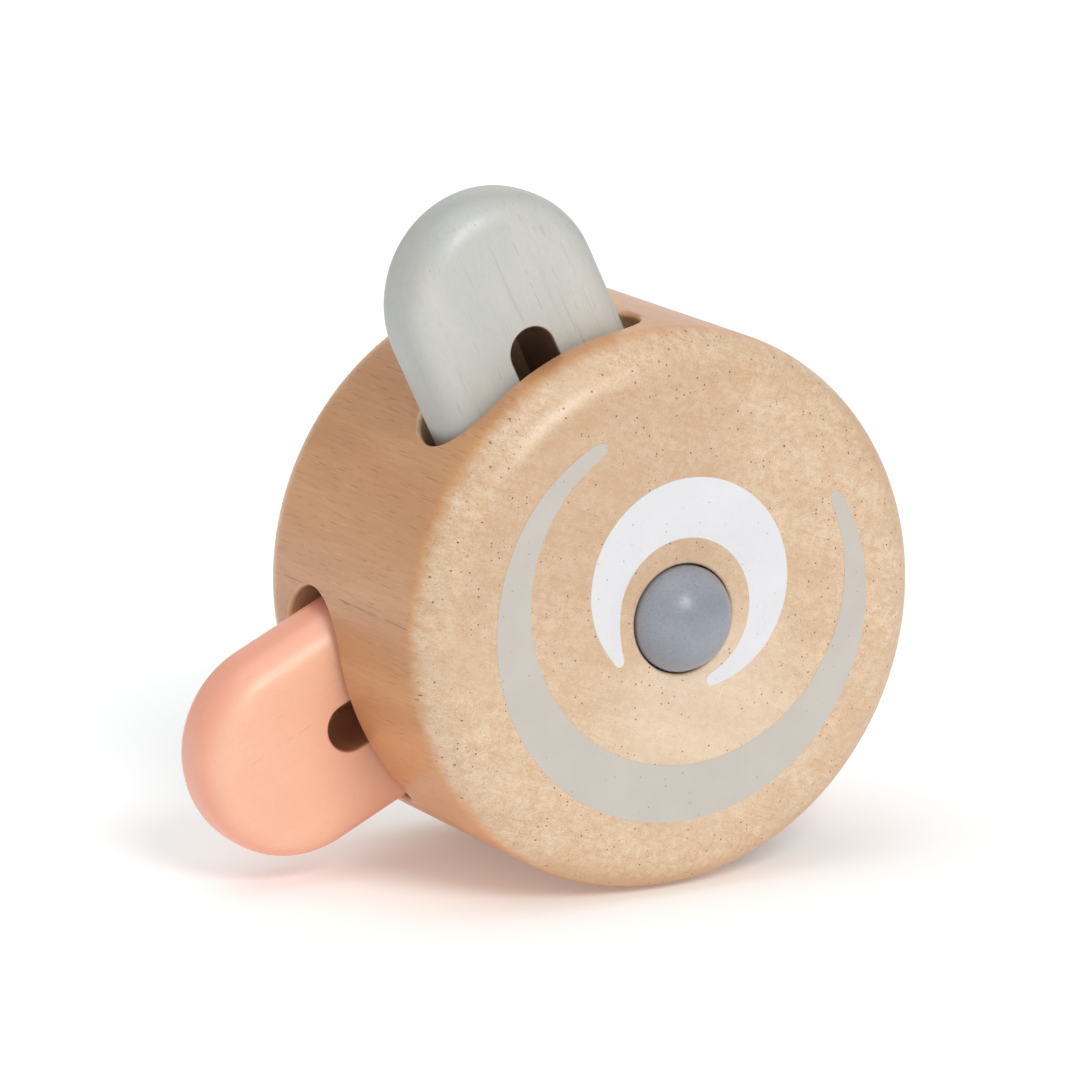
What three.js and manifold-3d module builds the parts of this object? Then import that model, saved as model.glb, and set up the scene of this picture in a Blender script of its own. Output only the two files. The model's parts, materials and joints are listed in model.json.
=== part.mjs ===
// A wooden drum roller with two through sliders.
// The drum lies on its rim with its axis along Y and its front face towards -Y. Two flat wooden sliders
// pass right through it in two slots, one behind the other and square to each other, and drop to and fro
// as the drum rolls. A dowel on the drum's axis runs through a long window in each slider and stops it at
// both ends of its travel, and a domed button on each face covers the dowel's end.
// Millimetres, +Z up. The origin is on the ground, under the middle of the drum.
import * as THREE from "three";
import { mergeVertices } from "three/addons/utils/BufferGeometryUtils.js";
import Module from "manifold-3d";

const wasm = await Module();
wasm.setup();

// The drum
const DRUM_DIAMETER = 100;
const CHEEK = 12; // wood between a face and the nearer slot
const WEB = 4; // wood between the two slots
const RIM_ROUND = 9.5;

// The sliders
const SLIDER_LENGTH = 109.5;
const SLIDER_WIDTH = 39;
const SLIDER_THICKNESS = 15.5;
const SLIDER_EDGE_ROUND = 6.5;
const WINDOW_END_WALL = 24.5; // from a slider's tip to the end of its window
const SLOT_FACE_GAP = 1.5; // between a slider's flat side and its slot
const SLOT_EDGE_GAP = 2.75; // between a slider's long edge and its slot

// The dowel and the buttons on its ends
const DOWEL_DIAMETER = 7.5;
const WINDOW_GAP = 0.5; // between the dowel and the wall of a window
const BUTTON_DIAMETER = 19;
const BUTTON_DOME = 7;
const BUTTON_SEAT = 5; // how deep a button sits in the drum's face
const BUTTON_SOCKET = 3; // how deep the dowel goes into a button
const GLUE_GAP = 0.3; // between glued pieces

// How the toy stands: directions are seen from the front, from +X towards +Z
const FRONT_SLIDER_DIRECTION = 115.2;
const REAR_SLIDER_DIRECTION = FRONT_SLIDER_DIRECTION + 90;
const REAR_TIP_ABOVE_GROUND = 4.8; // the front slider stands at its outer stop instead
const SLIDER_LEAN = 1; // degrees that both loose sliders lean in their slots

// Facets
const DRUM_SIDES = 72;
const ROUND_SIDES = 36;
const ARC_STEPS = 5;

const drumRadius = DRUM_DIAMETER / 2;
const slotThickness = SLIDER_THICKNESS + 2 * SLOT_FACE_GAP;
const slotWidth = SLIDER_WIDTH + 2 * SLOT_EDGE_GAP;
const drumWidth = 2 * CHEEK + 2 * slotThickness + WEB;
const slotCentre = (WEB + slotThickness) / 2; // from the drum's mid-plane
const windowWidth = DOWEL_DIAMETER + 2 * WINDOW_GAP;
const windowLength = SLIDER_LENGTH - 2 * WINDOW_END_WALL;
const stopReach = (windowLength - windowWidth) / 2; // from the drum's axis to a slider's middle at a stop
const buttonRadius = BUTTON_DIAMETER / 2;
const dowelRadius = DOWEL_DIAMETER / 2;
const cutMargin = 1; // how far a cutting tool runs past what it cuts

const wood = new THREE.MeshStandardMaterial({ color: "#dcbf9c", roughness: 0.55, metalness: 0 });
const greyStain = new THREE.MeshStandardMaterial({ color: "#c9cbc4", roughness: 0.6, metalness: 0 });
const peachStain = new THREE.MeshStandardMaterial({ color: "#f2a585", roughness: 0.45, metalness: 0 });
const blueStain = new THREE.MeshStandardMaterial({ color: "#959caa", roughness: 0.35, metalness: 0 });

// A closed geometry as a solid that can be cut.
function solid(geometry) {
  const bare = geometry.clone();
  bare.deleteAttribute("normal");
  bare.deleteAttribute("uv");
  const merged = mergeVertices(bare, 1e-4);
  const vertProperties = new Float32Array(merged.attributes.position.array);
  const triVerts = new Uint32Array(merged.index.array);
  return new wasm.Manifold(new wasm.Mesh({ numProp: 3, vertProperties, triVerts }));
}

function geometryOf(cutSolid) {
  const mesh = cutSolid.getMesh();
  const geometry = new THREE.BufferGeometry();
  geometry.setAttribute("position", new THREE.BufferAttribute(new Float32Array(mesh.vertProperties), 3));
  geometry.setIndex(new THREE.BufferAttribute(new Uint32Array(mesh.triVerts), 1));
  geometry.computeVertexNormals();
  return geometry;
}

// A straight-sided outline with full round ends. Its long side lies along the shape's x.
function roundEnded(length, width) {
  const reach = (length - width) / 2;
  const outline = new THREE.Shape();
  outline.absarc(reach, 0, width / 2, -Math.PI / 2, Math.PI / 2);
  outline.absarc(-reach, 0, width / 2, Math.PI / 2, (3 * Math.PI) / 2);
  outline.closePath();
  return outline;
}

// A round piece on the Y axis, turned from (radius, y) points in order from low y to high y.
function turned(points, sides) {
  const profile = points.map(([radius, y]) => new THREE.Vector2(radius, y));
  const geometry = new THREE.LatheGeometry(profile, sides);
  geometry.rotateY(Math.PI / sides);
  return geometry;
}

function roundBar(radius, fromY, toY) {
  return turned([[0, fromY], [radius, fromY], [radius, toY], [0, toY]], ROUND_SIDES);
}

// Points on a quarter circle about (radius, y), from one angle to the next, in (radius, y).
function arc(radius, y, size, fromAngle, toAngle) {
  const points = [];
  for (let step = 0; step <= ARC_STEPS; step += 1) {
    const angle = fromAngle + ((toAngle - fromAngle) * step) / ARC_STEPS;
    points.push([radius + size * Math.cos(angle), y + size * Math.sin(angle)]);
  }
  return points;
}

// The slot's tool lies along Z, as a slider does before it is turned to its direction.
function slotTool(direction, y) {
  const outline = roundEnded(slotWidth, slotThickness);
  const depth = DRUM_DIAMETER + 2 * cutMargin;
  const tool = new THREE.ExtrudeGeometry(outline, { depth, bevelEnabled: false, curveSegments: 12 });
  tool.translate(0, 0, -depth / 2);
  tool.rotateY(turnTo(direction));
  tool.translate(0, y, 0);
  return tool;
}

// The turn about Y that points a piece's own +Z in a direction given in degrees from +X towards +Z.
function turnTo(direction) {
  return Math.PI / 2 - THREE.MathUtils.degToRad(direction);
}

// The drum's middle is at the origin here. One flat of its many-sided rim faces straight down.
function drumGeometry() {
  const rimRadius = drumRadius / Math.cos(Math.PI / DRUM_SIDES);
  const half = drumWidth / 2;
  const shoulder = rimRadius - RIM_ROUND;
  const blank = turned(
    [
      [0, -half],
      ...arc(shoulder, -half + RIM_ROUND, RIM_ROUND, -Math.PI / 2, 0),
      ...arc(shoulder, half - RIM_ROUND, RIM_ROUND, 0, Math.PI / 2),
      [0, half],
    ],
    DRUM_SIDES,
  );
  const seatRadius = buttonRadius + GLUE_GAP;
  const bore = roundBar(dowelRadius + GLUE_GAP, -half - cutMargin, half + cutMargin);
  const tools = [
    bore,
    roundBar(seatRadius, -half - cutMargin, -half + BUTTON_SEAT),
    roundBar(seatRadius, half - BUTTON_SEAT, half + cutMargin),
    slotTool(FRONT_SLIDER_DIRECTION - SLIDER_LEAN, -slotCentre),
    slotTool(REAR_SLIDER_DIRECTION - SLIDER_LEAN, slotCentre),
  ];
  const cut = tools.reduce((body, tool) => body.subtract(solid(tool)), solid(blank));
  return geometryOf(cut);
}

// A slider lies with its length along Z, its width along X and its flat sides facing Y.
function sliderGeometry() {
  const core = roundEnded(SLIDER_LENGTH - 2 * SLIDER_EDGE_ROUND, SLIDER_WIDTH - 2 * SLIDER_EDGE_ROUND);
  const blank = new THREE.ExtrudeGeometry(core, {
    depth: SLIDER_THICKNESS - 2 * SLIDER_EDGE_ROUND,
    bevelThickness: SLIDER_EDGE_ROUND,
    bevelSize: SLIDER_EDGE_ROUND,
    bevelSegments: ARC_STEPS,
    curveSegments: 16,
  });
  blank.translate(0, 0, SLIDER_EDGE_ROUND - SLIDER_THICKNESS / 2);
  const depth = SLIDER_THICKNESS + 2 * cutMargin;
  const opening = new THREE.ExtrudeGeometry(roundEnded(windowLength, windowWidth), {
    depth,
    bevelEnabled: false,
    curveSegments: 10,
  });
  opening.translate(0, 0, -depth / 2);
  const geometry = geometryOf(solid(blank).subtract(solid(opening)));
  geometry.rotateX(Math.PI / 2);
  geometry.rotateY(-Math.PI / 2);
  return geometry;
}

// A button points along +Y. Its rim is level with y = 0 and its seat is below it.
function buttonGeometry() {
  const domeRadius = (buttonRadius ** 2 + BUTTON_DOME ** 2) / (2 * BUTTON_DOME);
  const domeCentre = BUTTON_DOME - domeRadius;
  const startAngle = Math.asin(-domeCentre / domeRadius);
  const foot = GLUE_GAP - BUTTON_SEAT;
  const blank = turned(
    [[0, foot], [buttonRadius, foot], ...arc(0, domeCentre, domeRadius, startAngle, Math.PI / 2)],
    ROUND_SIDES,
  );
  const socket = roundBar(dowelRadius + GLUE_GAP, foot - cutMargin, foot + BUTTON_SOCKET);
  return geometryOf(solid(blank).subtract(solid(socket)));
}

function dowelGeometry() {
  const half = drumWidth / 2 - BUTTON_SEAT + BUTTON_SOCKET;
  return geometryOf(solid(roundBar(dowelRadius, -half, half)));
}

function namedMesh(name, geometry, material) {
  const mesh = new THREE.Mesh(geometry, material);
  mesh.name = name;
  return mesh;
}

// How far out the rear slider's middle is: its tip stops just above the ground, or at the dowel.
function rearReach() {
  const slope = Math.abs(Math.sin(THREE.MathUtils.degToRad(REAR_SLIDER_DIRECTION)));
  const tipMiddleDrop = drumRadius - REAR_TIP_ABOVE_GROUND - SLIDER_WIDTH / 2;
  const tipMiddle = (SLIDER_LENGTH - SLIDER_WIDTH) / 2;
  return Math.min(stopReach, tipMiddleDrop / slope - tipMiddle);
}

// A slider in the slot at y. Its middle is pushed out in its direction by its reach.
function placedSlider(name, material, direction, y, reach) {
  const track = new THREE.Group();
  track.position.y = y;
  track.rotation.y = turnTo(direction);
  const slider = namedMesh(name, sliderGeometry(), material);
  slider.position.z = reach;
  track.add(slider);
  return track;
}

const frontButton = namedMesh("front_button", buttonGeometry(), blueStain);
frontButton.rotation.x = Math.PI;
frontButton.position.y = -drumWidth / 2;
const rearButton = namedMesh("rear_button", buttonGeometry(), blueStain);
rearButton.position.y = drumWidth / 2;

const roller = new THREE.Group();
roller.add(
  namedMesh("drum", drumGeometry(), wood),
  namedMesh("centre_dowel", dowelGeometry(), wood),
  frontButton,
  rearButton,
  placedSlider("front_slider", greyStain, FRONT_SLIDER_DIRECTION, -slotCentre, stopReach),
  placedSlider("rear_slider", peachStain, REAR_SLIDER_DIRECTION, slotCentre, rearReach()),
);
roller.position.z = drumRadius;

const toy = new THREE.Group();
toy.add(roller);

export default toy;
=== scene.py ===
import json
from math import asin, cos, pi, radians, sin, sqrt

import bmesh
import bpy
from mathutils import Matrix, Vector


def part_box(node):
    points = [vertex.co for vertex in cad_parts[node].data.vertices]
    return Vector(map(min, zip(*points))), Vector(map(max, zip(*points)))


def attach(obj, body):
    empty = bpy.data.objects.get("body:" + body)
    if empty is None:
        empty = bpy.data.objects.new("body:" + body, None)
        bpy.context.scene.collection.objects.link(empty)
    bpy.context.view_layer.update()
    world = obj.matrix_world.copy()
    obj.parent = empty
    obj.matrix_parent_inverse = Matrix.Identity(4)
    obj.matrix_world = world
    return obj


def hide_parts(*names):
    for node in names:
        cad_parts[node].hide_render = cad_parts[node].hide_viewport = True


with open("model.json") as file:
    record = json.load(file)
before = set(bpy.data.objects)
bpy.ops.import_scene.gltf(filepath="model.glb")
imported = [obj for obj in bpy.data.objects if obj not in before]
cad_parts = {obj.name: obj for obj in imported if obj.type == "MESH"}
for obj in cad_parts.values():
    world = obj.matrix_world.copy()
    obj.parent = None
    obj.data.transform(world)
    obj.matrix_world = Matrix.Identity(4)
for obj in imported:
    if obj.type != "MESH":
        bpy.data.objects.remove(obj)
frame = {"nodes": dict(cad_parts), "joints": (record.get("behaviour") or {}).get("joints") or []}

# A wooden drum roller with two through sliders, in metres, in the row's frame: the drum's axis is Y, its
# front face looks to -Y, and the ground is z = 0. The CAD solids are faceted, so each one is replaced by a
# smooth piece of the same size, built here from grids of points.

MM = 0.001
BACK = Vector((0, 1, 0))      # from the drum's front face to its rear face
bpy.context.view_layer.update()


# ---------------------------------------------------------------- sizes, from the frame and the CAD source

drum_low, drum_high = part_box("drum")
DRUM_CENTRE = (drum_low + drum_high) / 2
DRUM_RADIUS = (drum_high.x - drum_low.x) / 2
DRUM_HALF = (drum_high.y - drum_low.y) / 2
RIM_ROUND = 9.5 * MM

SLOT_FACE_GAP = 1.5 * MM
SLOT_EDGE_GAP = 2.75 * MM
MOUTH_ROUND = 0.8 * MM
SLIDER_LEAN = radians(1.0)    # how far both loose sliders lean in their slots

SLIDER_EDGE_ROUND = 6.5 * MM
WINDOW_WIDTH = 8.5 * MM
WINDOW_END_WALL = 24.5 * MM
WINDOW_ROUND = 0.5 * MM

BUTTON_SEAT = 5.0 * MM
BUTTON_DOME = 7.0 * MM
BUTTON_SOCKET = 3.0 * MM
GLUE_GAP = 0.3 * MM
SEAT_LIP = 0.5 * MM
DOWEL_CHAMFER = 0.6 * MM

PRINT_HEIGHT = 0.05 * MM


def joint_direction(name):
    """The way a slider moves out, as a unit vector."""
    joint = next(j for j in frame["joints"] if j["name"] == name)
    return Vector(joint["axis"]).normalized()


def extent(node, direction):
    """The lowest and highest reach of a CAD node along a direction, from the row's origin."""
    reach = [vertex.co.dot(direction) for vertex in frame["nodes"][node].data.vertices]
    return min(reach), max(reach)


def size_along(node, direction):
    low, high = extent(node, direction)
    return high - low


def middle_along(node, direction):
    low, high = extent(node, direction)
    return (low + high) / 2


front_out = joint_direction("front_slide")
rear_out = joint_direction("rear_slide")
SLIDER_LENGTH = size_along("front_slider", front_out)
SLIDER_WIDTH = size_along("front_slider", BACK.cross(front_out))
SLIDER_THICKNESS = size_along("front_slider", BACK)
button_low, button_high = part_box("front_button")
BUTTON_RADIUS = (button_high.z - button_low.z) / 2
dowel_low, dowel_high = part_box("centre_dowel")
DOWEL_RADIUS = (dowel_high.z - dowel_low.z) / 2
# from a slider's middle to the middle of its window's round end
WINDOW_REACH = SLIDER_LENGTH / 2 - WINDOW_END_WALL - WINDOW_WIDTH / 2


# ---------------------------------------------------------------- meshes from grids of points

SAME_POINT = 0.002 * MM       # points nearer than this are one point
SOFT_ANGLE = 40               # degrees; edges sharper than this stay sharp
CRISP_ANGLE = 30


class Patches:
    """Grids of points that become one mesh, joined wherever their edges meet."""

    def __init__(self):
        self.points = []
        self.faces = []

    def grid(self, rows, closed=True):
        start = len(self.points)
        width = len(rows[0])
        for row in rows:
            self.points.extend(row)
        for r in range(len(rows) - 1):
            for c in range(width if closed else width - 1):
                a = start + r * width + c
                b = start + r * width + (c + 1) % width
                self.faces.append((a, b, b + width, a + width))

    def build(self, name, sharp_from=SOFT_ANGLE):
        mesh = bpy.data.meshes.new(name)
        mesh.from_pydata(self.points, [], self.faces)
        work = bmesh.new()
        work.from_mesh(mesh)
        bmesh.ops.remove_doubles(work, verts=work.verts, dist=SAME_POINT)
        bmesh.ops.recalc_face_normals(work, faces=work.faces)
        work.to_mesh(mesh)
        work.free()
        mesh.shade_smooth()
        mesh.set_sharp_from_angle(angle=radians(sharp_from))
        piece = bpy.data.objects.new(name, mesh)
        bpy.context.scene.collection.objects.link(piece)
        return piece


def even_normals(piece):
    """Keeps flat faces flat beside their roundings."""
    modifier = piece.modifiers.new("even_normals", "WEIGHTED_NORMAL")
    modifier.keep_sharp = True
    modifier.weight = 100


def arc(centre, radius, from_angle, to_angle, steps):
    """Points on a circle, as (across, along) pairs."""
    angles = [from_angle + (to_angle - from_angle) * k / steps for k in range(steps + 1)]
    return [(centre[0] + radius * cos(a), centre[1] + radius * sin(a)) for a in angles]


def ring(radius, y, columns, start=0.0):
    """A ring of points about the Y axis, from +X towards +Z."""
    angles = [start + 2 * pi * k / columns for k in range(columns)]
    return [(radius * cos(a), y, radius * sin(a)) for a in angles]


def turned(name, profile, columns, sharp_from=SOFT_ANGLE):
    """A round piece on the Y axis, from (radius, y) pairs that start and end on the axis."""
    patches = Patches()
    patches.grid([ring(radius, y, columns) for radius, y in profile])
    return patches.build(name, sharp_from)


def round_ended(half_length, radius, corner_angle, long_steps, end_steps):
    """A round-ended outline as (base point, outward normal) pairs, in four runs between its corners.
    The corners lie on the round ends, at corner_angle from the outline's long axis."""
    corner_run = radius * (pi / 2 - corner_angle)
    long_run = half_length + corner_run

    def on_long_side(distance, side):
        """A point at a distance from the middle of a long side; side is 1 at the top and -1 below."""
        if abs(distance) <= half_length:
            return (distance, side * radius), (0.0, side * 1.0)
        turn = (abs(distance) - half_length) / radius
        normal = (sin(turn) * (1 if distance > 0 else -1), side * cos(turn))
        middle = half_length if distance > 0 else -half_length
        return (middle + radius * normal[0], radius * normal[1]), normal

    def on_end(angle, side):
        normal = (side * cos(angle), sin(angle))
        return (side * half_length + radius * normal[0], radius * normal[1]), normal

    points = [on_long_side(-long_run + 2 * long_run * k / long_steps, -1) for k in range(long_steps)]
    points += [on_end(-corner_angle + 2 * corner_angle * k / end_steps, 1) for k in range(end_steps)]
    points += [on_long_side(long_run - 2 * long_run * k / long_steps, 1) for k in range(long_steps)]
    points += [on_end(corner_angle - 2 * corner_angle * k / end_steps, -1) for k in range(end_steps)]
    return points


# ---------------------------------------------------------------- the drum

COLUMN = radians(1.5)         # the rim's grid; both slots' mouths lie on it, a quarter turn apart
COLUMNS = 240
BLOCK_COLUMNS = 42            # the part of the rim about a mouth
BLOCK_ROWS = 16
RIM_STEPS = 14
MOUTH_STEPS = 6
SPREAD_STEPS = 4              # from a mouth's lip to the edge of its block
TUNNEL_STEPS = 12
LIP_STEPS = 4
FACE_RINGS = 6
BORE_SIDES = 64


def slot_outline(width, thickness):
    """The slot's section as (t, y) points with normals, one for each point round a mouth's block."""
    radius = thickness / 2
    return round_ended(width / 2 - radius, radius, radians(45), BLOCK_COLUMNS, BLOCK_ROWS)


def block_edge():
    """The edge of a mouth's block of the rim, as (columns from the middle, share of the half width)."""
    half = BLOCK_COLUMNS / 2
    points = [(-half + k, 0.0) for k in range(BLOCK_COLUMNS)]
    points += [(half, k / BLOCK_ROWS) for k in range(BLOCK_ROWS)]
    points += [(half - k, 1.0) for k in range(BLOCK_COLUMNS)]
    points += [(-half, 1.0 - k / BLOCK_ROWS) for k in range(BLOCK_ROWS)]
    return points


def mouth_lip(base, normal):
    """A mouth's rounded lip at one point of the slot's outline: from the slot's wall to the rim.
    It rolls a ball that touches both, in (t, y, out) coordinates."""
    t = base[0] + MOUTH_ROUND * normal[0]
    y = base[1] + MOUTH_ROUND * normal[1]
    inner = DRUM_RADIUS - MOUTH_ROUND
    centre = Vector((t, y, sqrt(inner * inner - t * t)))
    to_wall = Vector((-normal[0], -normal[1], 0.0))
    to_rim = Vector((centre.x, 0.0, centre.z)).normalized()
    steps = [to_wall.slerp(to_rim, k / MOUTH_STEPS) for k in range(MOUTH_STEPS + 1)]
    return [centre + MOUTH_ROUND * step for step in steps]


def slot_axes(turn):
    """Across a slot and out along it, for a slot at an angle from +X towards +Z."""
    return Vector((sin(turn), 0.0, -cos(turn))), Vector((cos(turn), 0.0, sin(turn)))


def add_mouth(patches, turn, slot_middle, lips, low_y, high_y):
    """One mouth: its rounded lip, the block of the rim about it, and the plain rim up to the next block.
    The rim runs from low_y to high_y."""
    across, out = slot_axes(turn)

    def place(point):
        spot = across * point.x + out * point.z
        return (spot.x, slot_middle + point.y, spot.z)

    def on_rim(column, y):
        angle = turn - column * COLUMN
        return (DRUM_RADIUS * cos(angle), y, DRUM_RADIUS * sin(angle))

    def between(touch, edge_column, edge_share, share):
        """On the rim, a share of the way from where the lip touches it to the block's edge."""
        column = asin(touch.x / DRUM_RADIUS) / COLUMN
        y = slot_middle + touch.y
        edge_y = low_y + (high_y - low_y) * edge_share
        return on_rim(column + (edge_column - column) * share, y + (edge_y - y) * share)

    patches.grid([[place(lip[k]) for lip in lips] for k in range(MOUTH_STEPS + 1)])
    edge = block_edge()
    patches.grid([
        [between(lip[-1], *end, k / SPREAD_STEPS) for lip, end in zip(lips, edge)]
        for k in range(SPREAD_STEPS + 1)
    ])
    first = BLOCK_COLUMNS // 2
    last = COLUMNS // 2 - first
    ys = [low_y + (high_y - low_y) * k / BLOCK_ROWS for k in range(BLOCK_ROWS + 1)]
    patches.grid([[on_rim(c, y) for c in range(first, last + 1)] for y in ys], closed=False)


def add_tunnel(patches, turn, slot_middle, lips):
    """A slot's walls, from mouth to mouth."""
    across, out = slot_axes(turn)
    rows = []
    for k in range(TUNNEL_STEPS + 1):
        share = 1 - 2 * k / TUNNEL_STEPS
        spots = [across * lip[0].x + out * (lip[0].z * share) for lip in lips]
        rows.append([(spot.x, slot_middle + lip[0].y, spot.z) for spot, lip in zip(spots, lips)])
    patches.grid(rows)


def add_slot(patches, turn, side, slot_middle, outline):
    """One slot with its two mouths and the half of the rim that they open in.
    side is -1 for the half towards the front face and 1 for the other."""
    lips = [mouth_lip(base, normal) for base, normal in outline]
    band_half = DRUM_HALF - RIM_ROUND
    low_y, high_y = (0.0, band_half) if side > 0 else (-band_half, 0.0)
    for mouth_turn in (turn, turn + pi):
        add_mouth(patches, mouth_turn, slot_middle, lips, low_y, high_y)
    add_tunnel(patches, turn, slot_middle, lips)


def face_profile(side, seat_radius):
    """One face of the drum as (radius, y) pairs, from the seat's middle out to the rim."""
    face = side * DRUM_HALF
    inward = -side
    lip = [(seat_radius + SEAT_LIP + r, face + inward * y) for r, y in
           arc((0.0, SEAT_LIP), SEAT_LIP, pi, 1.5 * pi, LIP_STEPS)]
    rim = [(DRUM_RADIUS - RIM_ROUND + r, face + inward * (RIM_ROUND - y)) for r, y in
           arc((0.0, 0.0), RIM_ROUND, pi / 2, 0.0, RIM_STEPS)]
    inner, outer = lip[-1][0], rim[0][0]
    flat = [(inner + (outer - inner) * k / FACE_RINGS, face) for k in range(1, FACE_RINGS)]
    floor = face + inward * BUTTON_SEAT
    return [(0.0, floor), (seat_radius / 2, floor), (seat_radius, floor)] + lip + flat + rim


def make_drum():
    patches = Patches()
    front_turn = Vector((1, 0, 0)).angle(front_out) - SLIDER_LEAN
    for side in (-1, 1):
        rows = face_profile(side, BUTTON_RADIUS + GLUE_GAP)
        patches.grid([ring(radius, y, COLUMNS, front_turn) for radius, y in rows])
    outline = slot_outline(SLIDER_WIDTH + 2 * SLOT_EDGE_GAP, SLIDER_THICKNESS + 2 * SLOT_FACE_GAP)
    for node, turn, side in (("front_slider", front_turn, -1), ("rear_slider", front_turn + pi / 2, 1)):
        add_slot(patches, turn, side, middle_along(node, BACK) - DRUM_CENTRE.y, outline)
    drum = patches.build("wooden_drum")
    cut_bore(drum, DOWEL_RADIUS + GLUE_GAP)
    drum.location = DRUM_CENTRE
    return drum


def cut_bore(drum, radius):
    """Cuts the dowel's bore right through the drum along Y."""
    reach = 2 * DRUM_HALF
    profile = [(0.0, -reach), (radius, -reach), (radius, reach), (0.0, reach)]
    tool = turned("bore_tool", profile, BORE_SIDES)
    modifier = drum.modifiers.new("bore", "BOOLEAN")
    modifier.operation = "DIFFERENCE"
    modifier.solver = "EXACT"
    modifier.object = tool
    cut = bpy.data.meshes.new_from_object(drum.evaluated_get(bpy.context.evaluated_depsgraph_get()))
    drum.modifiers.clear()
    drum.data = cut
    bpy.data.objects.remove(tool)
    cut.name = "wooden_drum"


# ---------------------------------------------------------------- the sliders

SIDE_POINTS = 40
END_POINTS = 96
FLAT_STEPS = 3
EDGE_STEPS = 10
WINDOW_STEPS = 4


def make_slider(name):
    """A slider with its length along Z, its width along X and its flat sides facing Y."""
    half = SLIDER_THICKNESS / 2
    end_radius, window_radius = SLIDER_WIDTH / 2, WINDOW_WIDTH / 2
    outer = round_ended(SLIDER_LENGTH / 2 - end_radius, end_radius, pi / 2, SIDE_POINTS, END_POINTS)
    inner = round_ended(WINDOW_REACH, window_radius, pi / 2, SIDE_POINTS, END_POINTS)

    def across(share, y):
        """A ring on a flat side, a share of the way from the window's rounding to the edge's rounding."""
        row = []
        for (inner_base, inner_normal), (outer_base, outer_normal) in zip(inner, outer):
            start = Vector(inner_base) + WINDOW_ROUND * Vector(inner_normal)
            end = Vector(outer_base) - SLIDER_EDGE_ROUND * Vector(outer_normal)
            spot = start.lerp(end, share)
            row.append((spot[1], y, spot[0]))
        return row

    def along(outline, inset, y):
        return [(base[1] - inset * normal[1], y, base[0] - inset * normal[0]) for base, normal in outline]

    def side(sign):
        """From the middle of the window's wall, over one flat side, to the middle of the edge."""
        rows = [along(inner, -(WINDOW_ROUND + x), sign * (half - WINDOW_ROUND + y)) for x, y in
                arc((0.0, 0.0), WINDOW_ROUND, pi, pi / 2, WINDOW_STEPS)]
        rows += [across(k / FLAT_STEPS, sign * half) for k in range(1, FLAT_STEPS)]
        rows += [along(outer, SLIDER_EDGE_ROUND - x, sign * (half - SLIDER_EDGE_ROUND + y)) for x, y in
                 arc((0.0, 0.0), SLIDER_EDGE_ROUND, pi / 2, 0.0, EDGE_STEPS)]
        return rows

    section = side(1) + list(reversed(side(-1)))
    patches = Patches()
    patches.grid(section + [section[0]])
    return patches.build(name)


def place_slider(piece, node, out):
    """Puts a slider where its CAD solid is. Its mesh is turned and the object itself isn't, so that its
    box stays tight."""
    across = BACK.cross(out)
    middle = Vector()
    for direction in (across, BACK, out):
        middle += direction * middle_along(node, direction)
    piece.data.transform(Matrix((across, BACK, out)).transposed().to_4x4())
    piece.location = middle


# ---------------------------------------------------------------- buttons, dowel and printed crescents

DOME_STEPS = 24
BUTTON_SIDES = 96
DOWEL_SIDES = 64
CRESCENT_STEPS = 160
TIP_STEPS = 12
TIP_LEAN_OVER = radians(34)   # how far from a tip its lean still tells


def make_button(name):
    """A button that points along +Y, with the level of the drum's face at y = 0."""
    dome_radius = (BUTTON_RADIUS ** 2 + BUTTON_DOME ** 2) / (2 * BUTTON_DOME)
    dome_centre = BUTTON_DOME - dome_radius
    start = asin(-dome_centre / dome_radius)
    foot = GLUE_GAP - BUTTON_SEAT
    socket = DOWEL_RADIUS + GLUE_GAP
    dome = arc((0.0, dome_centre), dome_radius, start, pi / 2, DOME_STEPS)
    profile = [(0.0, foot + BUTTON_SOCKET), (socket, foot + BUTTON_SOCKET), (socket, foot)]
    profile += [(BUTTON_RADIUS, foot)] + dome
    return turned(name, profile, BUTTON_SIDES, CRISP_ANGLE)


def make_dowel(name, half):
    radius, chamfer = DOWEL_RADIUS, DOWEL_CHAMFER
    profile = [(0.0, -half), (radius - chamfer, -half), (radius, -half + chamfer)]
    profile += [(radius, half - chamfer), (radius - chamfer, half), (0.0, half)]
    return turned(name, profile, DOWEL_SIDES, CRISP_ANGLE)


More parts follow.
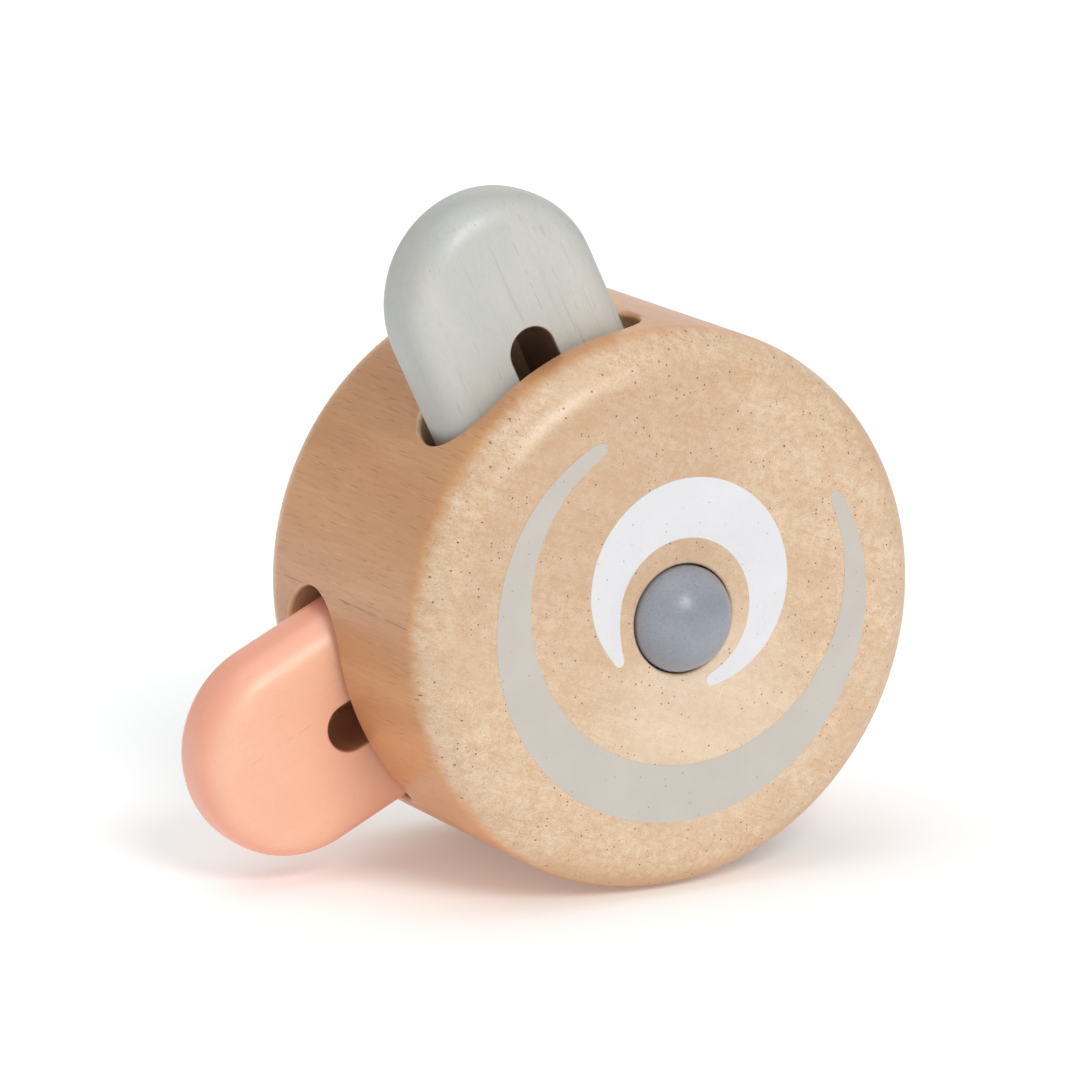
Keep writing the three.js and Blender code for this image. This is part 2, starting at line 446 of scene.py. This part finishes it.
def make_crescent(name, axis, inner, outer, start, end, side):
    """A printed crescent on a face of the drum, with round tips.
    Each edge is a limacon about the face's middle: radius = size + swell * cos(angle - axis), in drum
    radii. start and end are (angle, inner shift, outer shift, length): where the tip begins, how far its
    two edges lean off the limacons there, and how many times its half width the tip is long.
    side is -1 for the front face and 1 for the back."""

    def shift(angle, which):
        amount = 0.0
        for tip in (start, end):
            near = max(0.0, 1 - abs(angle - tip[0]) / TIP_LEAN_OVER)
            amount += tip[which] * near * near
        return amount

    def edge(curve, angle, which):
        return DRUM_RADIUS * (curve[0] + curve[1] * cos(angle - axis) + shift(angle, which))

    def station(angle):
        way = Vector((cos(angle), sin(angle)))
        return way * edge(inner, angle, 1), way * edge(outer, angle, 2)

    def cap(tip, forward):
        low, high = station(tip[0])
        middle, half = (low + high) / 2, (high - low) / 2
        run = Vector((-half.y, half.x)) * forward * tip[3]
        turns = [pi / 2 * k / TIP_STEPS for k in range(1, TIP_STEPS + 1)]
        return [(middle + run * sin(a) - half * cos(a), middle + run * sin(a) + half * cos(a))
                for a in turns]

    angles = [start[0] + (end[0] - start[0]) * k / CRESCENT_STEPS for k in range(CRESCENT_STEPS + 1)]
    stations = list(reversed(cap(start, -1))) + [station(a) for a in angles] + cap(end, 1)
    low, high = -PRINT_HEIGHT, PRINT_HEIGHT
    patches = Patches()
    patches.grid([
        [(a.x, low, a.y), (a.x, high, a.y), (b.x, high, b.y), (b.x, low, b.y)]
        for a, b in stations
    ])
    piece = patches.build(name, CRISP_ANGLE)
    if side > 0:
        piece.scale.x = -1
        piece.data.flip_normals()
    piece.location = DRUM_CENTRE + Vector((0, side * DRUM_HALF, 0))
    return piece


# ---------------------------------------------------------------- materials

BUMP_STRENGTH = 0.6


class Nodes:
    """A short way to write a material's node tree."""

    def __init__(self, name):
        self.material = bpy.data.materials.new(name)
        self.material.use_nodes = True
        self.tree = self.material.node_tree
        self.shader = self.tree.nodes["Principled BSDF"]

    def add(self, kind, inputs=None, **settings):
        node = self.tree.nodes.new(kind)
        for key, value in settings.items():
            setattr(node, key, value)
        for key, value in (inputs or {}).items():
            self.put(node.inputs[key], value)
        return node

    def put(self, socket, value):
        if isinstance(value, bpy.types.NodeSocket):
            self.tree.links.new(value, socket)
        else:
            socket.default_value = value

    def set(self, **inputs):
        for key, value in inputs.items():
            self.put(self.shader.inputs[key.replace("_", " ")], value)

    def math(self, operation, a, b=0.0):
        return self.add("ShaderNodeMath", {0: a, 1: b}, operation=operation).outputs[0]

    def times(self, a, b):
        return self.math("MULTIPLY", a, b)

    def vector_math(self, operation, a, b=(0.0, 0.0, 0.0), output="Vector"):
        return self.add("ShaderNodeVectorMath", {0: a, 1: b}, operation=operation).outputs[output]

    def axis(self, vector, name):
        return self.add("ShaderNodeSeparateXYZ", {"Vector": vector}).outputs[name]

    def ramp(self, value, low, high, to_low=0.0, to_high=1.0):
        """Value from low to high, smoothly, as to_low to to_high."""
        node = self.add("ShaderNodeMapRange", {
            "Value": value, "From Min": low, "From Max": high, "To Min": to_low, "To Max": to_high,
        }, interpolation_type="SMOOTHSTEP")
        return node.outputs["Result"]

    def mix(self, share, a, b):
        node = self.add("ShaderNodeMix", data_type="RGBA")
        for socket, value in ((node.inputs[0], share), (node.inputs[6], a), (node.inputs[7], b)):
            self.put(socket, value)
        return node.outputs[2]

    def own_place(self):
        """Where a point is on its own piece, in metres."""
        return self.add("ShaderNodeTexCoord").outputs["Object"]

    def scaled(self, vector, scale):
        return self.add("ShaderNodeMapping", {"Vector": vector, "Scale": scale}).outputs["Vector"]

    def rotated(self, vector, rotation):
        return self.add("ShaderNodeMapping", {"Vector": vector, "Rotation": rotation}).outputs["Vector"]

    def along_y(self, vector):
        """Turned so that a grain along the piece's own Y runs along Z."""
        return self.rotated(vector, (pi / 2, 0, 0))

    def noise(self, vector, scale, detail=2.0, roughness=0.5, distortion=0.0):
        node = self.add("ShaderNodeTexNoise", {
            "Vector": vector, "Scale": scale, "Detail": detail, "Roughness": roughness,
            "Distortion": distortion,
        })
        return node.outputs["Fac"]

    def drawn_noise(self, vector, pace, scale, detail, roughness=0.5, distortion=0.0):
        """Noise drawn out along Z, where its pace of change is that share of its pace across."""
        drawn = self.scaled(vector, (1.0, 1.0, pace))
        return self.noise(drawn, scale, detail, roughness, distortion)

    def columns(self, vector, scale):
        """Cells that run on for ever along Z: (distance to the nearest one's middle, its random colour)"""
        node = self.add("ShaderNodeTexVoronoi", voronoi_dimensions="2D")
        self.put(node.inputs["Vector"], vector)
        self.put(node.inputs["Scale"], scale)
        return node.outputs["Distance"], node.outputs["Color"]

    def bump(self, height, distance):
        inputs = {"Height": height, "Distance": distance, "Strength": BUMP_STRENGTH}
        return self.add("ShaderNodeBump", inputs).outputs["Normal"]


def colour(red, green, blue):
    """A colour from 0 to 255 as it looks on a screen, as the linear colour that shaders use."""
    def linear(value):
        value /= 255
        return value / 12.92 if value <= 0.04045 else ((value + 0.055) / 1.055) ** 2.4
    return (linear(red), linear(green), linear(blue), 1.0)


PORE_EDGE = 0.06              # how softly a pore's outline fades, in cells
PORE_BREAKS = (0.44, 0.56)    # the noise along a pore, from no pore to its full size


def pores(nodes, place, spacing, length, radius, share):
    """Pores that run along Z, as 1 in a pore and 0 outside: dots across the grain and dashes along it.
    spacing is the size of the cells that hold one pore each, length that of its dashes, radius the
    largest pore's radius in cells, and share the part of the cells with a pore."""
    distance, random = nodes.columns(place, 1.0 / spacing)
    pick = nodes.add("ShaderNodeSeparateColor", {"Color": random}).outputs["Red"]
    size = nodes.ramp(pick, nodes.math("SUBTRACT", 1.0, share), 1.0, 0.0, radius)
    along = nodes.noise(nodes.scaled(place, (0.4 / spacing, 0.4 / spacing, 1.0 / length)), 1.0, 1.0)
    size = nodes.times(size, nodes.ramp(along, *PORE_BREAKS))
    return nodes.ramp(nodes.math("SUBTRACT", size, distance), 0.0, PORE_EDGE)


PITH = (-35 * MM, -150 * MM)  # the tree's middle, in X and Z from the drum's
RING_PACE = 620.0             # radians of a ring's wave for each metre
RING_WARP = 8.0


def growth_rings(nodes, place, warp):
    """Faint arcs about a pith that lies outside the drum, from 0 to 1."""
    across = nodes.math("POWER", nodes.math("SUBTRACT", nodes.axis(place, "X"), PITH[0]), 2.0)
    down = nodes.math("POWER", nodes.math("SUBTRACT", nodes.axis(place, "Z"), PITH[1]), 2.0)
    distance = nodes.math("SQRT", nodes.math("ADD", across, down))
    phase = nodes.math("ADD", nodes.times(distance, RING_PACE), nodes.times(warp, RING_WARP))
    return nodes.times(nodes.math("ADD", nodes.math("SINE", phase), 1.0), 0.5)


LONG_BAND, LONG_TONE, LONG_CLOUD = colour(203, 147, 103), colour(215, 163, 115), colour(198, 142, 101)
# The first colour on the next line is a painted warm bounce light for the lower rim.
LOW_PAINTED_BOUNCE, AMBER, FIBRE = colour(232, 162, 98), colour(226, 160, 92), colour(176, 120, 80)
DARK_DASH, LIGHT_DASH = colour(128, 80, 48), colour(240, 204, 164)
END_DARK, END_LIGHT, END_CLOUD = colour(215, 178, 141), colour(231, 205, 174), colour(211, 176, 140)
LIGHT_SPECK, DARK_SPECK, RAY = colour(236, 221, 200), colour(196, 152, 114), colour(206, 162, 122)
# The second colour on the next line is a painted shade for the upper left of the faces.
PALE_PATCH, UPPER_LEFT_PAINTED_SHADE, EDGE_HONEY = colour(238, 220, 195), colour(194, 156, 122), colour(208, 162, 112)
RING_LINE, PORE = colour(176, 130, 92), colour(98, 62, 38)


def long_grain(nodes, place, grain, cloud, tilt):
    """The colour of the rim, with fibres and short dashes, a painted warm bounce light that turns it more
    honey lower down, and amber where the rim turns into the faces."""
    bands = nodes.drawn_noise(grain, 0.10, 140.0, 3.0, 0.5, 0.4)
    fibre = nodes.drawn_noise(grain, 0.05, 1900.0, 3.0, 0.65)
    dashes = nodes.drawn_noise(grain, 0.045, 5000.0, 0.0)
    # How low a point sits on the rim, for the painted warm bounce light there.
    height = nodes.math("ADD", nodes.axis(place, "Z"), nodes.times(cloud, 20 * MM))
    low = nodes.ramp(height, 0.0, -30 * MM)
    turning = nodes.times(nodes.ramp(tilt, 0.0, 0.25), nodes.ramp(tilt, 0.20, 0.60, 1.0, 0.0))

    tone = nodes.mix(nodes.ramp(bands, 0.3, 0.7), LONG_BAND, LONG_TONE)
    tone = nodes.mix(nodes.ramp(cloud, 0.45, 0.7, 0.0, 0.5), tone, LONG_CLOUD)
    # Painted warm bounce light: the rim turns more honey towards the bottom.
    tone = nodes.mix(nodes.times(low, 0.60), tone, LOW_PAINTED_BOUNCE)
    tone = nodes.mix(nodes.ramp(fibre, 0.25, 0.75, 0.30, 0.0), tone, FIBRE)
    tone = nodes.mix(nodes.ramp(dashes, 0.71, 0.79, 0.0, 0.50), tone, DARK_DASH)
    tone = nodes.mix(nodes.ramp(dashes, 0.30, 0.18, 0.0, 0.25), tone, LIGHT_DASH)
    return nodes.mix(nodes.times(turning, 0.30), tone, AMBER)


PALE_MIDDLE = (4 * MM, 0.0, -17 * MM)
RAY_SLANT = radians(-22)


def pale_patch(nodes, place, cloud):
    """1 in a broad patch just below the button, fading to 0 round it."""
    flat = nodes.scaled(nodes.vector_math("SUBTRACT", place, PALE_MIDDLE), (1.0, 0.0, 1.0))
    distance = nodes.vector_math("LENGTH", flat, output="Value")
    ragged = nodes.math("ADD", distance, nodes.times(cloud, 16 * MM))
    return nodes.ramp(ragged, 36 * MM, 14 * MM)


def painted_shade_upper_left(nodes, place, facing):
    """How much painted shade darkens the flat of a face above its middle and towards -X."""
    above = nodes.ramp(nodes.axis(place, "Z"), -10 * MM, 14 * MM, 0.0, 0.36)
    left = nodes.ramp(nodes.axis(place, "X"), 4 * MM, 18 * MM, 1.0, 0.0)
    return nodes.times(nodes.times(above, left), nodes.ramp(facing, 0.80, 0.98))


def honey_edge_and_painted_highlight(nodes, place, tilt):
    """How much honey there is on the faces' roundings, more of it downwards and towards +X. Keeping it off
    the upper left leaves a paler rounding there, a painted highlight.
    """
    sideways = nodes.vector_math("DOT_PRODUCT", place, (0.8, 0.0, -0.6), "Value")
    return nodes.times(nodes.ramp(tilt, 0.98, 0.62, 0.0, 0.75), nodes.ramp(sideways, -5 * MM, 30 * MM))


def end_grain(nodes, place, cloud, mottle, speckle, facing, tilt):
    """The colour of the faces, with speckles, short rays and broad patches."""
    slant = nodes.scaled(nodes.rotated(place, (0, RAY_SLANT, 0)), (0.14, 0.3, 1.0))
    rays = nodes.noise(slant, 1500.0)

    tone = nodes.mix(nodes.ramp(mottle, 0.3, 0.7), END_DARK, END_LIGHT)
    tone = nodes.mix(nodes.ramp(speckle, 0.50, 0.75, 0.0, 0.55), tone, LIGHT_SPECK)
    tone = nodes.mix(nodes.ramp(speckle, 0.50, 0.25, 0.0, 0.45), tone, DARK_SPECK)
    tone = nodes.mix(nodes.ramp(rays, 0.45, 0.75, 0.0, 0.35), tone, RAY)
    tone = nodes.mix(nodes.ramp(cloud, 0.4, 0.7, 0.0, 0.45), tone, END_CLOUD)
    tone = nodes.mix(nodes.times(pale_patch(nodes, place, cloud), 0.45), tone, PALE_PATCH)
    # Painted shade on the upper left of each face's flat.
    tone = nodes.mix(painted_shade_upper_left(nodes, place, facing), tone, UPPER_LEFT_PAINTED_SHADE)
    # Honey on the roundings, kept off the upper left as a painted highlight.
    return nodes.mix(honey_edge_and_painted_highlight(nodes, place, tilt), tone, EDGE_HONEY)


def wood_pores(nodes, grain, cloud):
    """Bigger pores, in crowds, among fine ones."""
    crowd = nodes.ramp(cloud, 0.35, 0.65, 0.90, 0.50)
    big = pores(nodes, grain, 1.35 * MM, 5 * MM, 0.150, crowd)
    fine = pores(nodes, grain, 0.85 * MM, 3 * MM, 0.160, 0.70)
    return nodes.math("MAXIMUM", big, nodes.times(fine, 0.45))


def wood_material():
    """Pale hardwood, cut from one block with its grain along Y: end grain on the faces and on the slots'
    flat walls, and long grain round the rim."""
    nodes = Nodes("rubberwood")
    place = nodes.own_place()
    grain = nodes.along_y(place)
    facing = nodes.math("ABSOLUTE", nodes.axis(nodes.add("ShaderNodeTexCoord").outputs["Normal"], "Y"))
    speckle = nodes.drawn_noise(grain, 0.3, 3900.0, 1.0, 0.6)
    mottle = nodes.drawn_noise(grain, 0.2, 700.0, 4.0, 0.65, 0.4)
    cloud = nodes.drawn_noise(grain, 0.12, 55.0, 3.0, 0.55)
    tilt = nodes.math("ADD", facing, nodes.times(nodes.math("SUBTRACT", mottle, 0.5), 0.30))
    end_share = nodes.ramp(tilt, 0.08, 0.55)

    tone = nodes.mix(end_share, long_grain(nodes, place, grain, cloud, tilt),
                     end_grain(nodes, place, cloud, mottle, speckle, facing, tilt))
    tone = nodes.mix(nodes.times(growth_rings(nodes, place, cloud), 0.08), tone, RING_LINE)
    marks = wood_pores(nodes, grain, cloud)
    tone = nodes.mix(nodes.times(marks, nodes.ramp(end_share, 0.0, 0.6, 0.30, 0.85)), tone, PORE)

    height = nodes.math("SUBTRACT", nodes.times(speckle, 0.12), marks)
    nodes.set(Base_Color=tone, Roughness=nodes.ramp(speckle, 0.2, 0.8, 0.30, 0.40),
              Normal=nodes.bump(height, 0.05 * MM), Specular_IOR_Level=0.65)
    return nodes.material


def window_walls(nodes, place):
    """1 on the walls of a slider's window and 0 elsewhere; the slider's own length is along Z."""
    past = nodes.math("SUBTRACT", nodes.math("ABSOLUTE", nodes.axis(place, "Z")), WINDOW_REACH)
    past = nodes.math("MAXIMUM", past, 0.0)
    flat = nodes.add("ShaderNodeCombineXYZ", {"X": nodes.axis(place, "X"), "Y": past}).outputs["Vector"]
    edge = WINDOW_WIDTH / 2 + 0.15 * MM
    return nodes.ramp(nodes.vector_math("LENGTH", flat, output="Value"), edge, edge + 0.25 * MM, 1.0, 0.0)


def stain_material(name, out, light, dark, grain_tone, edge_tone, bare_wall_and_shade_tone, roughness, grain_share,
                   edge_share, bump_height):
    """Stained wood whose grain runs along a slider, which moves out that way. The stain is deeper on the
    rounded edges and scarcely reaches the window's walls, which show bare wood darkened by painted shade."""
    nodes = Nodes(name)
    turn = Vector((0, 0, 1)).rotation_difference(out).inverted().to_euler()
    place = nodes.rotated(nodes.own_place(), turn)
    depth = nodes.math("ABSOLUTE", nodes.axis(place, "Y"))
    half = SLIDER_THICKNESS / 2

    streak = nodes.drawn_noise(place, 0.05, 620.0, 3.0, 0.6, 0.5)
    line = nodes.drawn_noise(place, 0.07, 1500.0, 0.0, 0.5, 0.3)
    broad = nodes.drawn_noise(place, 0.35, 70.0, 3.0, 0.5, 0.3)
    speckle = nodes.drawn_noise(place, 0.4, 2300.0, 2.0, 0.7)
    tone = nodes.mix(nodes.ramp(broad, 0.35, 0.65), dark, light)
    tone = nodes.mix(nodes.ramp(depth, half - 4.0 * MM, half - 0.2 * MM, edge_share, 0.0), tone, edge_tone)
    tone = nodes.mix(nodes.ramp(streak, 0.55, 0.75, 0.0, grain_share * 0.6), tone, grain_tone)
    tone = nodes.mix(nodes.ramp(line, 0.72, 0.80, 0.0, grain_share), tone, grain_tone)
    tone = nodes.mix(nodes.ramp(speckle, 0.2, 0.8, 0.16, 0.0), tone, grain_tone)
    pore = pores(nodes, place, 1.2 * MM, 3 * MM, 0.12, 0.5)
    tone = nodes.mix(nodes.times(pore, 0.6), tone, grain_tone)
    # Painted shade: the window's walls are bare wood, darkened for the shade inside the window.
    tone = nodes.mix(window_walls(nodes, place), tone, bare_wall_and_shade_tone)
    height = nodes.math("SUBTRACT", nodes.times(speckle, 0.2), pore)
    nodes.set(Base_Color=tone, Roughness=nodes.ramp(streak, 0.3, 0.7, roughness - 0.04, roughness + 0.04),
              Normal=nodes.bump(height, bump_height), Specular_IOR_Level=1.0)
    return nodes.material


PAINT_SHADE, PAINT_PIT = colour(128, 130, 138), colour(104, 104, 110)
INK_SPECK, INK_PORE = colour(170, 162, 150), colour(122, 112, 102)


def paint_material(name, light, dark, roughness):
    """Thin paint on turned wood: satin, with tiny pits."""
    nodes = Nodes(name)
    place = nodes.own_place()
    grain = nodes.along_y(place)
    cloud = nodes.noise(place, 160.0, 3.0)
    peel = nodes.noise(place, 2200.0, 2.0)
    pit = pores(nodes, grain, 0.8 * MM, 2 * MM, 0.16, 0.5)
    tone = nodes.mix(nodes.ramp(cloud, 0.3, 0.7), dark, light)
    tone = nodes.mix(nodes.ramp(peel, 0.3, 0.7, 0.30, 0.0), tone, PAINT_SHADE)
    tone = nodes.mix(nodes.times(pit, 0.45), tone, PAINT_PIT)
    height = nodes.math("SUBTRACT", nodes.times(peel, 0.5), pit)
    nodes.set(Base_Color=tone, Roughness=nodes.ramp(peel, 0.3, 0.7, roughness - 0.05, roughness + 0.05),
              Normal=nodes.bump(height, 0.08 * MM), Specular_IOR_Level=0.5)
    return nodes.material


def print_material(name, light, dark):
    """Thin ink on end grain: the wood's pores still show as dots."""
    nodes = Nodes(name)
    place = nodes.own_place()
    grain = nodes.along_y(place)
    cloud = nodes.noise(place, 120.0, 3.0)
    speckle = nodes.noise(place, 3400.0, 2.0, 0.6)
    tone = nodes.mix(nodes.ramp(cloud, 0.3, 0.7), dark, light)
    tone = nodes.mix(nodes.ramp(speckle, 0.25, 0.75, 0.10, 0.0), tone, INK_SPECK)
    pore = pores(nodes, grain, 1.7 * MM, 5 * MM, 0.12, 0.45)
    fine = pores(nodes, grain, 0.95 * MM, 3 * MM, 0.12, 0.45)
    marks = nodes.math("MAXIMUM", pore, nodes.times(fine, 0.5))
    tone = nodes.mix(nodes.times(marks, 0.50), tone, INK_PORE)
    nodes.set(Base_Color=tone, Roughness=nodes.ramp(cloud, 0.3, 0.7, 0.5, 0.6),
              Normal=nodes.bump(marks, -0.04 * MM), Specular_IOR_Level=0.5)
    return nodes.material


FLOOR_TONE = (0.93, 0.95, 0.96, 1.0)
WHITE = (1.0, 1.0, 1.0, 1.0)
FLOOR_GLOW = 0.18


def floor_material():
    """A white table that glows a little, as a photographer's light table does."""
    nodes = Nodes("studio_floor")
    nodes.set(Base_Color=FLOOR_TONE, Roughness=0.8, Specular_IOR_Level=0.2,
              Emission_Color=WHITE, Emission_Strength=FLOOR_GLOW)
    return nodes.material


# ---------------------------------------------------------------- the object

def finish_piece(piece, material, body, slot, *nodes):
    piece.data.materials.clear()
    piece.data.materials.append(material)
    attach(piece, body)
    if nodes:
        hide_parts(*nodes)


wood = wood_material()
blue = paint_material("blue_grey_paint", colour(154, 158, 168), colour(146, 150, 160), 0.32)
grey = stain_material("grey_stain", front_out, light=colour(211, 207, 199), dark=colour(198, 199, 193),
                      grain_tone=colour(156, 154, 146), edge_tone=colour(162, 167, 165),
                      bare_wall_and_shade_tone=colour(112, 80, 58), roughness=0.44, grain_share=0.22,
                      edge_share=0.50, bump_height=0.05 * MM)
peach = stain_material("peach_stain", rear_out, light=colour(251, 196, 163), dark=colour(248, 188, 156),
                       grain_tone=colour(232, 152, 124), edge_tone=colour(238, 150, 124),
                       bare_wall_and_shade_tone=colour(196, 132, 98), roughness=0.40, grain_share=0.05,
                       edge_share=0.60, bump_height=0.03 * MM)
white_ink = print_material("white_ink", colour(233, 232, 235), colour(229, 229, 232))
grey_ink = print_material("warm_grey_ink", colour(204, 197, 188), colour(199, 192, 182))

drum = make_drum()
even_normals(drum)
finish_piece(drum, wood, "roller", "natural_wood", "drum")

dowel = make_dowel("round_dowel", (dowel_high.y - dowel_low.y) / 2)
dowel.location = (dowel_low + dowel_high) / 2
finish_piece(dowel, wood, "roller", "natural_wood", "centre_dowel")

for name, node, side in (
    ("domed_front_button", "front_button", -1),
    ("domed_rear_button", "rear_button", 1),
):
    button = make_button(name)
    button.location = DRUM_CENTRE + Vector((0, side * DRUM_HALF, 0))
    if side < 0:
        button.rotation_euler = (pi, 0, 0)
    even_normals(button)
    finish_piece(button, blue, "roller", "blue_grey_stain", node)

for name, node, out, body, slot, material in (
    ("grey_front_slider", "front_slider", front_out, "front_slider_body", "grey_stain", grey),
    ("peach_rear_slider", "rear_slider", rear_out, "rear_slider_body", "peach_stain", peach),
):
    slider = make_slider(name)
    place_slider(slider, node, out)
    even_normals(slider)
    finish_piece(slider, material, body, slot, node)

CRESCENTS = (                 # name, ink, axis in degrees, inner and outer edge, start and end tip
    ("white_crescent", white_ink, 77, (0.259, 0.029), (0.378, 0.1245),
     (radians(-62), 0.0, 0.0, 1.2), (radians(203), 0.020, 0.0, 1.5)),
    ("grey_crescent", grey_ink, 255, (0.6256, -0.1045), (0.7454, -0.0181),
     (radians(119.5), -0.012, -0.014, 1.9), (radians(388), -0.006, -0.014, 2.0)),
)
for name, ink, axis, inner, outer, start, end in CRESCENTS:
    for face, side in (("front", -1), ("rear", 1)):
        crescent = make_crescent(f"{face}_{name}", radians(axis), inner, outer, start, end, side)
        finish_piece(crescent, ink, "roller", "natural_wood")


# ---------------------------------------------------------------- floor, light and camera

FLOOR_REACH = 6.0
WORLD_STRENGTH = 0.46
SOFTBOXES = (                 # name, way to the lamp, strength, degrees across
    ("front_softbox", (-0.05, -0.765, 0.642), 1.20, 22),
    ("top_softbox", (-0.20, 0.05, 0.98), 0.70, 50),
    ("back_card", (0.50, 0.80, 0.33), 0.30, 50),
)


def make_floor():
    mesh = bpy.data.meshes.new("studio_floor")
    reach = FLOOR_REACH
    mesh.from_pydata([(-reach, -reach, 0), (reach, -reach, 0), (reach, reach, 0), (-reach, reach, 0)],
                     [], [(0, 1, 2, 3)])
    mesh.materials.append(floor_material())
    floor = bpy.data.objects.new("studio_floor", mesh)
    bpy.context.scene.collection.objects.link(floor)


def add_sun(name, towards, strength, spread):
    """A soft lamp as far off as the sky; towards points from the object to the lamp."""
    lamp = bpy.data.lights.new(name, "SUN")
    lamp.energy = strength
    lamp.angle = radians(spread)
    holder = bpy.data.objects.new(name, lamp)
    holder.rotation_euler = Vector(towards).to_track_quat("Z", "Y").to_euler()
    bpy.context.scene.collection.objects.link(holder)


def add_world(strength):
    world = bpy.data.worlds.new("studio")
    world.use_nodes = True
    background = world.node_tree.nodes["Background"]
    background.inputs["Color"].default_value = WHITE
    background.inputs["Strength"].default_value = strength
    bpy.context.scene.world = world


def add_camera():
    """The photograph's view: a long lens, a little left of the front and a little above."""
    azimuth, elevation = radians(-29.74), radians(13.65)
    distance, lens = 23.06 * DRUM_RADIUS, 216.67
    aim_right, aim_up = -0.174 * DRUM_RADIUS, 0.140 * DRUM_RADIUS
    forward = Vector((-sin(azimuth) * cos(elevation), cos(azimuth) * cos(elevation), -sin(elevation)))
    right = Vector((cos(azimuth), sin(azimuth), 0))
    up = right.cross(forward)
    target = DRUM_CENTRE + aim_right * right + aim_up * up
    data = bpy.data.cameras.new("view")
    data.sensor_width = 36.0
    data.lens = lens
    data.clip_end = 20.0
    camera = bpy.data.objects.new("view", data)
    axes = Matrix((right, up, -forward)).transposed().to_4x4()
    camera.matrix_world = Matrix.Translation(target - distance * forward) @ axes
    bpy.context.scene.collection.objects.link(camera)
    bpy.context.scene.camera = camera


make_floor()
add_world(WORLD_STRENGTH)
for name, towards, strength, spread in SOFTBOXES:
    add_sun(name, towards, strength, spread)
add_camera()
bpy.context.scene.view_settings.view_transform = "Standard"
